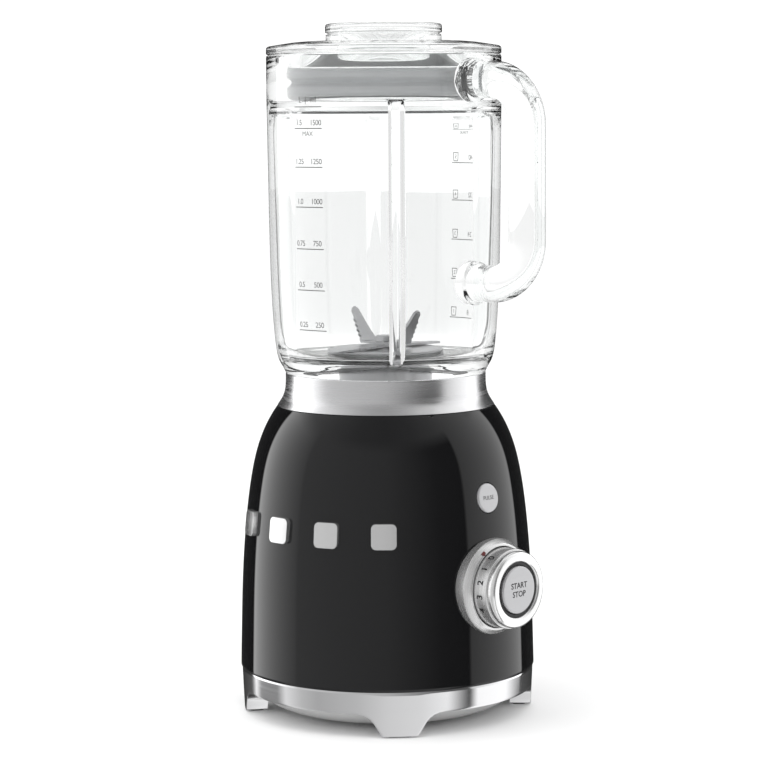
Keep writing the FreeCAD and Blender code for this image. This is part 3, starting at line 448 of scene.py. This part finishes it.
# ---- Base ring and feet ---------------------------------------------------
# One zinc casting: a narrow skirt that widens down into four feet, chrome plated and
# satin polished. Each foot is open underneath for its rubber pad.
foot_angle = -41.0
foot_outline = [(-25.0, 13.0), (-22.0, 12.75), (-19.0, 11.9), (-16.2, 10.2), (-14.4, 8.2), (-13.2, 6.4),
                (-11.4, 3.4), (-10.5, 2.1), (-9.9, 1.2), (-9.3, 0.85), (-8.6, 0.8)]


def ring_edge(arc_length):
    """Height of the ring's lower edge at a distance along it from the nearest foot's middle."""
    reach = [-t for t, z in reversed(foot_outline)]
    level = [z for t, z in reversed(foot_outline)]
    return float(np.interp(abs(arc_length), reach, level))


def ring_radius(z):
    return 80.7 - 1.1 * (ring_top - z) / ring_top


def base_ring_mesh():
    turns = []
    for quarter in range(4):
        start = foot_angle + 90 * quarter
        near = np.linspace(-18.5, 18.5, 149)
        far = np.linspace(18.5, 71.5, 60)[1:-1]
        turns += [start + a for a in near] + [start + a for a in far]
    rows = 14
    vertices = []
    for turn in turns:
        away = (turn - foot_angle + 45) % 90 - 45
        low = ring_edge(math.radians(away) * 80.0)
        depth = 68.0 if low < 12.9 else 76.6
        column = [(ring_radius(low) - 0.5, low), (ring_radius(low) - 0.12, low + 0.12)]
        for k in range(rows):
            z = low + 0.5 + (ring_top - 0.9 - low) * k / (rows - 1)
            column.append((ring_radius(z), z))
        column += [(80.55, ring_top - 0.1), (80.2, ring_top), (75.0, ring_top), (75.0, ring_top - 3.0),
                   (76.6, ring_top - 3.0), (76.6, 13.6), (depth, 13.6 if depth < 76 else 13.4),
                   (depth, low)]
        angle = math.radians(turn)
        vertices += [Vector((r * math.cos(angle), r * math.sin(angle), z)) * MM for r, z in column]
    span = rows + 10
    count = len(turns)
    faces = []
    for k in range(count):
        right = (k + 1) % count
        for row in range(span):
            after = (row + 1) % span
            faces.append((k * span + row, right * span + row, right * span + after, k * span + after))
    return vertices, faces


ring_metal = material("ring_metal", (0.84, 0.84, 0.85), 1.0, grain,
                      {"Stretch": (5.0, 5.0, 600.0), "Low": 0.07, "High": 0.11, "Bump": 0.01})
ring_vertices, ring_faces = base_ring_mesh()
ring = add_object("footed_ring", ring_vertices, ring_faces, "base", ring_metal, angle=40)
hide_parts("base_ring")


# ---- Speed knob -----------------------------------------------------------
# A fixed bezel on the shell, a turning dial with printed numbers, a bright front rim
# and a dark inset ring round the start and stop button.
knob_metal = material("knob_metal", (0.78, 0.78, 0.78), 0.85, grain,
                      {"Stretch": (700.0, 6.0, 6.0), "Low": 0.22, "High": 0.30, "Bump": 0.04})
bright_metal = material("bright_metal", (0.93, 0.93, 0.93), 0.9, handled,
                        {"Scale": 90.0, "Low": 0.12, "High": 0.18, "Bump": 0.01})
face_metal = material("face_metal", (0.55, 0.55, 0.56), 0.75, grain,
                      {"Stretch": (6.0, 6.0, 900.0), "Low": 0.30, "High": 0.40, "Bump": 0.05})
dark_plastic = material("dark_plastic", (0.02, 0.02, 0.021), 0.0, handled,
                        {"Scale": 120.0, "Low": 0.35, "High": 0.5, "Bump": 0.1})
ink = material("printing_ink", (0.012, 0.012, 0.013), 0.0, handled,
               {"Scale": 300.0, "Low": 0.45, "High": 0.6, "Bump": 0.0})

bezel_outline = rounded([(21.9, 73.0), (25.65, 73.0), (25.65, 81.4), (24.9, 82.6), (23.6, 84.0),
                         (22.9, 84.6),
                         (21.9, 84.6), (21.9, 73.0)], 0.5)
bezel = lathe("knob_bezel_ring", bezel_outline[:-1], "base", knob_metal, place=knob_place)
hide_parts("knob_bezel")

dial_outline = rounded([(5.5, 65.0), (7.5, 65.0), (7.5, 88.0), (19.5, 88.0), (19.5, 80.6), (21.35, 80.6),
                        (21.35, 93.2), (20.9, 93.5), (19.5, 93.5), (19.5, 90.0), (5.5, 90.0),
                        (5.5, 65.0)], 0.25)
dial = lathe("number_dial", dial_outline[:-1], "knob", knob_metal, place=knob_place)
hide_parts("speed_dial")

rim_outline = rounded([(15.0, 93.5), (20.3, 93.5), (20.6, 93.9), (20.6, 96.0), (20.1, 97.1), (19.0, 97.6),
                       (16.2, 97.6), (15.4, 97.3), (15.0, 96.8), (15.0, 93.5)], 0.6)
rim = lathe("dial_rim", rim_outline[:-1], "knob", bright_metal, place=knob_place)
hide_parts("knob_rim")

inset_outline = rounded([(13.1, 93.5), (15.0, 93.5), (15.0, 96.0), (13.1, 96.0), (13.1, 93.5)], 0.3)
inset = lathe("dark_inset", inset_outline[:-1], "knob", dark_plastic, place=knob_place)
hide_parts("knob_inset")

start_outline = rounded([(0.001, 66.0), (5.1, 66.0), (5.1, 92.6), (12.75, 92.6), (12.75, 97.0),
                         (12.45, 97.45),
                         (11.9, 97.6), (0.001, 97.6)], 0.4)
start = lathe("start_stop_button", start_outline, "start_key", face_metal, place=knob_place)
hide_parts("start_button")


def printed(name, text, size, body, material, spot, spacing=1.0, bold=0.0):
    """Flat printed lettering. spot turns each point of the text, in mm, into its place."""
    curve = bpy.data.curves.new(name, "FONT")
    curve.body = text
    curve.size = size
    curve.align_x = "CENTER"
    curve.align_y = "CENTER"
    curve.space_character = spacing
    curve.offset = bold
    curve.resolution_u = 4
    holder = bpy.data.objects.new(name + "_font", curve)
    bpy.context.scene.collection.objects.link(holder)
    bpy.context.view_layer.update()
    flat = bpy.data.meshes.new_from_object(holder.evaluated_get(bpy.context.evaluated_depsgraph_get()))
    vertices = [Vector(spot(v.co.x, v.co.y)) * MM for v in flat.vertices]
    faces = [tuple(p.vertices) for p in flat.polygons]
    bpy.data.objects.remove(holder)
    return add_object(name, vertices, faces, body, material)


def on_dial(turn):
    """Places lettering round the dial's side, its top towards the base shell."""
    def spot(x, y):
        angle = math.radians(turn) - x / 21.4
        return (88.8 - y, -21.42 * math.sin(angle), 77.0 + 21.42 * math.cos(angle))
    return spot


first_number, number_step = 34, 20.5
for number in range(5):
    printed("dial_%d" % number, str(number), 5.4, "knob", ink,
            on_dial(first_number + number_step * number), bold=0.12)


def on_face(height):
    def spot(x, y):
        return (97.64, x, 77.0 + height + y)
    return spot


printed("start_word", "START", 4.3, "start_key", ink, on_face(2.3), bold=0.07)
printed("stop_word", "STOP", 4.3, "start_key", ink, on_face(-2.3), bold=0.07)

red_mark = material("pointer_red", (0.10, 0.012, 0.012), 0.0, handled,
                    {"Scale": 200.0, "Low": 0.4, "High": 0.5, "Bump": 0.0})
pointer_turn = math.radians(first_number)
pointer = []
for out, x, half in ((22.2, 84.66, 0.25), (23.3, 84.66, 1.3), (24.2, 83.66, 1.3)):
    for y in (-half, half):
        pointer.append(Vector((x, -out * math.sin(pointer_turn) + y * math.cos(pointer_turn),
                               77 + out * math.cos(pointer_turn) + y * math.sin(pointer_turn))) * MM)
add_object("pointer_mark", pointer, [(0, 1, 3, 2), (2, 3, 5, 4)], "base", red_mark)


# ---- Pulse button ---------------------------------------------------------
# A small round metal button, nearly flush with the shell and square to its slope.
pulse_outline = rounded([(0.001, -15.0 + 3.8), (3.0, -15.0 + 3.8), (3.0, -6.5), (8.0, -6.5),
                         (8.0, -0.1), (7.6, 0.38),
                         (7.1, 0.5), (0.001, 0.5)], 0.4)
pulse = lathe("pulse_cap", pulse_outline, "pulse_key", face_metal, place=pulse_place)
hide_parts("pulse_button")


def on_pulse(x, y):
    return tuple((pulse_place @ (Vector((-y, x, 0.54)) * MM)) / MM)


printed("pulse_word", "PULSE", 3.1, "pulse_key", ink, on_pulse)


# ---- Jug ------------------------------------------------------------------
# Clear copolyester, injection moulded. Four ribs run down the inside to break the
# swirl, and the floor is thick. A spigot underneath drops into the base's seat.
clear = material("clear_moulding", (0.985, 0.992, 0.990), 0.0, handled,
                 {"Scale": 25.0, "Low": 0.0, "High": 0.012, "Bump": 0.003}, IOR=1.45,
                 Transmission_Weight=1.0)
jug_low, jug_top = 187.3, 359.9
floor_level = jug_low + 8.7
rise = jug_top - jug_low
jug_side = smooth_through([(55.0, jug_low), (56.4, jug_low + 2.9), (58.2, jug_low + 6.2),
                           (59.9, jug_low + 12.8),
                           (61.2, jug_low + 25.5), (62.1, jug_low + 39.7), (63.1, jug_low + 76.0),
                           (64.0, jug_low + 150.0)], 7)
jug_side += [(64.0, jug_top - 1.2), (63.65, jug_top - 0.35), (62.8, jug_top)]
jug_inside = [(54.8, jug_top), (53.9, jug_top - 0.35), (53.6, jug_top - 1.2), (53.6, 336.5),
              (54.0, 335.0)]
jug_inside += [(57.5, 331.5), (60.2, 329.6), (60.7, 328.0)]
jug_inside += smooth_through([(60.7, 318.0), (59.5, 256.0), (58.1, floor_level + 22.0),
                              (56.8, floor_level + 9.0),
                              (54.4, floor_level + 2.6), (50.0, floor_level)], 7)
jug_under = [(26.0, floor_level), (26.0, jug_low), (43.5, jug_low), (43.6, 172.0), (44.0, 171.7),
             (48.7, 171.7),
             (49.2, 172.1), (49.2, jug_low), (54.6, jug_low)]
rib_angle, rib_width, rib_depth, rib_top = -39.5, 6.5, 11.7, 335.3


def rib_plan():
    """Turns round the jug and how far in each one reaches on a rib, from 0 to 1."""
    half = rib_width / 2
    plan = []
    for quarter in range(4):
        middle = rib_angle + 90 * quarter
        for k in range(-14, 15):
            across = half * math.sin(math.pi / 2 * k / 14)
            tip = math.sqrt(max(half * half - across * across, 0))
            plan.append((middle, across * 0.999, tip, True))
        wide = np.linspace(4.2, 85.8, 44)
        plan += [(middle + a, 0.0, 0.0, False) for a in wide]
    return plan


def jug_mesh():
    plan = rib_plan()
    rows = [(r, z, 0.0) for r, z in jug_side]
    for r, z in jug_inside:
        fade = 0.0
        if z < rib_top:
            fade = math.sqrt(max(0.0, 1 - max(0.0, 1 - (rib_top - z) / 6.0) ** 2))
        rows.append((r, z, fade if z > floor_level + 0.01 else 0.0))
    tall = rows
    rows = []
    for k, row in enumerate(tall):
        rows.append(row)
        following = tall[k + 1] if k + 1 < len(tall) else None
        if following and row[1] > 328.5 and following[1] < 335.3 and row[0] < 61 and k > len(jug_side):
            for t in (0.25, 0.5, 0.75):
                z = row[1] + (following[1] - row[1]) * t
                fade = 0.0
                if z < rib_top:
                    fade = math.sqrt(max(0.0, 1 - max(0.0, 1 - (rib_top - z) / 6.0) ** 2))
                rows.append((row[0] + (following[0] - row[0]) * t, z, fade))
    rows += [(r, z, 0.0) for r, z in jug_under]
    vertices = []
    tip_radius = 60.7 - rib_depth
    for r, z, fade in rows:
        for middle, across, tip, on_rib in plan:
            if not on_rib:
                angle = math.radians(middle)
                vertices.append(Vector((r * math.cos(angle), r * math.sin(angle), z)) * MM)
                continue
            root = math.sqrt(r * r - across * across)
            reach = root + (tip_radius + rib_width / 2 - tip - root) * fade
            angle = math.radians(middle)
            ahead = Vector((math.cos(angle), math.sin(angle), 0))
            aside = Vector((-math.sin(angle), math.cos(angle), 0))
            vertices.append((ahead * min(reach, root) + aside * across + Vector((0, 0, z))) * MM)
    count = len(plan)
    faces = []
    for row in range(len(rows)):
        after = (row + 1) % len(rows)
        for k in range(count):
            right = (k + 1) % count
            faces.append((row * count + k, row * count + right, after * count + right, after * count + k))
    return vertices, faces


jug_vertices, jug_faces = jug_mesh()
jug = add_object("clear_jug", jug_vertices, jug_faces, "jug", clear, angle=50)
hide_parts("jug")


# ---- Printed scales -------------------------------------------------------
# Screen-printed in grey on the outside of the jug: litres and millilitres on one
# side, cups and ounces opposite, with plain rules under each mark.
print_grey = material("scale_print", (0.07, 0.07, 0.07), 0.0, handled,
                      {"Scale": 300.0, "Low": 0.5, "High": 0.65, "Bump": 0.0})
side_z = [z for r, z in jug_side]
side_r = [r for r, z in jug_side]


def on_jug(turn, level):
    def spot(x, y):
        z = level + y
        radius = float(np.interp(z, side_z, side_r)) + 0.06
        angle = math.radians(turn) + x / radius
        return (radius * math.cos(angle), radius * math.sin(angle), z)
    return spot


def rule(name, turn, level, half, thick=0.45):
    spot = on_jug(turn, level)
    steps = 12
    vertices = []
    for k in range(steps + 1):
        x = -half + 2 * half * k / steps
        vertices += [Vector(spot(x, -thick / 2)) * MM, Vector(spot(x, thick / 2)) * MM]
    faces = [(2 * k, 2 * k + 2, 2 * k + 3, 2 * k + 1) for k in range(steps)]
    return add_object(name, vertices, faces, "jug", print_grey)


litre_turn, cup_turn = -85.0, 87.0
marks = [(213.6, "0.25", "250", "8", "1"), (235.0, "0.5", "500", "16", "2"),
         (256.9, "0.75", "750", "24", "3"),
         (279.05, "1.0", "1000", "32", "4"), (300.1, "1.25", "1250", "40", "5"),
         (320.5, "1.5", "1500", "48", "6")]


def cup_sign(name, turn, level):
    """A small outline of a cup round a number, drawn as a thin band."""
    outline = [(-2.1, 2.5), (-1.75, -2.1), (-1.4, -2.5), (1.4, -2.5), (1.75, -2.1), (2.1, 2.5)]
    inner = [(x * 0.8, y * 0.84) for x, y in outline]
    spot = on_jug(turn, level)
    vertices = [Vector(spot(x, y)) * MM for x, y in outline + inner]
    count = len(outline)
    faces = [(k, (k + 1) % count, (k + 1) % count + count, k + count) for k in range(count)]
    return add_object(name, vertices, faces, "jug", print_grey)


for number, (level, litres, millilitres, ounces, cups) in enumerate(marks):
    for tag, turn, left, right in (("litre", litre_turn, litres, millilitres),
                                   ("cup", cup_turn, ounces, cups)):
        rule("%s_rule_%d" % (tag, number), turn, level, 9.4)
        printed("%s_left_%d" % (tag, number), left, 4.1, "jug", print_grey,
                on_jug(turn - 5.4, level + 2.9), spacing=0.9)
        size, aside, above = (4.1, 4.9, 2.9) if tag == "litre" else (3.0, 6.0, 3.3)
        printed("%s_right_%d" % (tag, number), right, size, "jug",
                print_grey, on_jug(turn + aside, level + above), spacing=0.9)
    cup_sign("cup_sign_%d" % number, cup_turn + 6.0, level + 3.3)
for tag, turn, words in (("litre", litre_turn, "L  |  ml"), ("cup", cup_turn, "oz | cups")):
    rule(tag + "_rule_top", turn, 331.8, 9.4)
    printed(tag + "_head", words, 4.3, "jug", print_grey, on_jug(turn, 335.4))
    printed(tag + "_max", "MAX", 3.4, "jug", print_grey, on_jug(turn, 317.6))


# ---- Handle ---------------------------------------------------------------
# A bent tube of the same clear plastic, bonded to the jug at two flanged bosses.
handle_high, handle_low, handle_reach, handle_bend = 345.5, 238.3, 103.3, 24.0


def handle_path():
    """Points of the handle's centre line with the tube's radius at each."""
    start = 64.2
    corner = handle_reach - handle_bend
    points = []
    for x, r in ((start, 11.8), (start + 0.3, 11.8), (66.6, 11.8), (67.6, 11.7), (68.4, 11.3),
                 (69.0, 10.6),
                 (69.6, 10.1), (70.6, 9.85), (73.0, 9.8), (76.0, 9.8)):
        points.append((x, handle_high, r))
    for k in range(25):
        turn = math.pi / 2 * k / 24
        drop = handle_bend * (1 - math.cos(turn))
        points.append((corner + handle_bend * math.sin(turn), handle_high - drop, 9.8))
    for k in range(1, 20):
        z = handle_high - handle_bend + (handle_low - handle_high + 2 * handle_bend) * k / 20
        points.append((handle_reach, z, 9.8))
    lower = [(x, handle_high + handle_low - z, r) for x, z, r in reversed(points[:35])]
    return points + lower


def sweep(name, path, body, material, segments=64):
    """A round tube along a path in the XZ plane, closed at its ends."""
    vertices = []
    for k, (x, z, r) in enumerate(path):
        ahead = path[min(k + 1, len(path) - 1)]
        behind = path[max(k - 1, 0)]
        tangent = Vector((ahead[0] - behind[0], 0, ahead[1] - behind[1])).normalized()
        across = Vector((0, 1, 0))
        up = tangent.cross(across)
        for step in range(segments):
            turn = 2 * math.pi * step / segments
            point = Vector((x, 0, z)) + (across * math.cos(turn) + up * math.sin(turn)) * r
            if k in (0, len(path) - 1):
                point.x = math.sqrt(64.12 ** 2 - point.y ** 2)
            vertices.append(point * MM)
    faces = []
    for k in range(len(path) - 1):
        for step in range(segments):
            right = (step + 1) % segments
            faces.append((k * segments + step, k * segments + right, (k + 1) * segments + right,
                          (k + 1) * segments + step))
    last = (len(path) - 1) * segments
    faces.append(tuple(range(segments)))
    faces.append(tuple(last + k for k in range(segments)))
    return add_object(name, vertices, faces, body, material)


handle = sweep("tube_handle", handle_path(), "jug", clear)
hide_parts("jug_handle")


# ---- Lid and seal ---------------------------------------------------------
# A clear lid with a plug that drops into the jug's mouth. A soft double-lip seal is
# stretched round the plug and wipes the jug's wall.
lid_low, lid_top = 360.2, 366.9
lid_outline = rounded([(26.0, lid_low + 2), (45.6, lid_low + 2), (45.6, 336.2), (48.6, 336.2),
                       (48.6, 351.2),
                       (52.8, 351.2), (52.8, lid_low), (64.0, lid_low), (64.0, 363.6), (63.0, 364.5),
                       (60.5, 364.9), (51.5, 366.3), (46.0, 366.8), (40.0, lid_top), (26.0, lid_top),
                       (26.0, lid_low + 2)], 0.8)
lid = lathe("clear_lid", lid_outline[:-1], "lid", clear)
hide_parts("lid")

silicone = material("seal_silicone", (0.66, 0.67, 0.68), 0.0, handled,
                    {"Scale": 80.0, "Low": 0.35, "High": 0.45, "Bump": 0.05}, Subsurface_Weight=0.2,
                    Subsurface_Radius=(0.004, 0.004, 0.004))
seal_outline = rounded([(48.6, 337.6), (50.4, 337.6), (52.6, 338.3), (53.2, 340.0), (52.8, 342.2),
                        (51.0, 343.4),
                        (49.9, 344.3), (51.0, 345.3), (52.8, 346.6), (53.2, 348.7), (52.6, 350.3),
                        (50.4, 351.0),
                        (48.6, 351.0), (48.6, 337.6)], 0.7)
seal = lathe("lip_seal", seal_outline[:-1], "lid", silicone)
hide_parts("lid_seal")


# ---- Measuring cap --------------------------------------------------------
# A clear cup that hangs upside down in the lid's hole, with a grooved rim to grip.
cap_outline = rounded([(23.2, 353.0), (25.4, 353.0), (25.4, 367.2), (31.5, 367.2), (31.5, 370.7),
                       (30.4, 370.9),
                       (30.4, 371.6), (31.8, 371.9), (31.8, 375.4), (31.3, 376.3), (30.4, 376.6),
                       (20.0, 376.6),
                       (0.001, 376.6)], 0.45)
cap_outline += rounded([(0.001, 374.4), (18.0, 374.4), (23.2, 374.4), (23.2, 353.0)], 1.2)[:-1]
cap = lathe("clear_cap", cap_outline, "cap", clear)
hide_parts("measuring_cap")


# ---- Blades and everything else from the frame ----------------------------
# The design's own solids stay where their shape is right, with a small bevel where
# light catches an edge and the finish of the real piece.
blade_steel = material("blade_steel", (0.42, 0.42, 0.43), 1.0, grain,
                       {"Stretch": (900.0, 40.0, 40.0), "Low": 0.28, "High": 0.42, "Bump": 0.1})
zinc_steel = material("zinc_steel", (0.60, 0.61, 0.63), 1.0, handled,
                      {"Scale": 150.0, "Low": 0.25, "High": 0.4, "Bump": 0.05})
black_rubber = material("black_rubber", (0.02, 0.02, 0.02), 0.0, handled,
                        {"Scale": 200.0, "Low": 0.6, "High": 0.8, "Bump": 0.2})
pan_plastic = material("pan_plastic", (0.52, 0.52, 0.52), 0.0, handled,
                       {"Scale": 220.0, "Low": 0.4, "High": 0.55, "Bump": 0.15})
copper = material("winding_copper", (0.55, 0.22, 0.08), 1.0, grain,
                  {"Stretch": (60.0, 60.0, 1500.0), "Low": 0.25, "High": 0.4, "Bump": 0.5})
lamination = material("lamination_steel", (0.28, 0.28, 0.30), 0.9, grain,
                      {"Stretch": (2.0, 2.0, 2500.0), "Low": 0.4, "High": 0.55, "Bump": 0.6})
board_green = material("board_laminate", (0.015, 0.10, 0.04), 0.0, handled,
                       {"Scale": 400.0, "Low": 0.3, "High": 0.45, "Bump": 0.1})
cast_aluminium = material("cast_aluminium", (0.55, 0.55, 0.56), 1.0, handled,
                          {"Scale": 260.0, "Low": 0.4, "High": 0.55, "Bump": 0.25})
finishes = {
    "gloss_black_paint": black_enamel, "satin_chrome": satin_metal, "blade_steel": blade_steel,
    "clear_copolyester": clear, "grey_silicone": silicone, "black_rubber": black_rubber,
    "light_grey_plastic": pan_plastic, "dark_plastic": dark_plastic, "motor_aluminium": cast_aluminium,
    "lamination_steel": lamination, "copper_winding": copper, "screw_steel": zinc_steel,
    "carbon": dark_plastic, "board_laminate": board_green}
for entry in frame["record"]["subparts"]:
    part = nodes[entry["node"]]
    part.data.materials.clear()
    part.data.materials.append(finishes[entry["material_slot"]])
trim_metal = material("trim_metal", (0.80, 0.80, 0.80), 0.9, handled,
                      {"Scale": 90.0, "Low": 0.15, "High": 0.22, "Bump": 0.01})
nodes["trim_pieces"].data.materials[0] = trim_metal
for name, width in (("trim_pieces", 0.7), ("lower_blades", 0.15), ("upper_blades", 0.15),
                    ("blade_nut", 0.3)):
    soften = nodes[name].modifiers.new("soft_edge", "BEVEL")
    soften.width = width * MM
    soften.segments = 3
    soften.limit_method = "ANGLE"
    soften.harden_normals = True
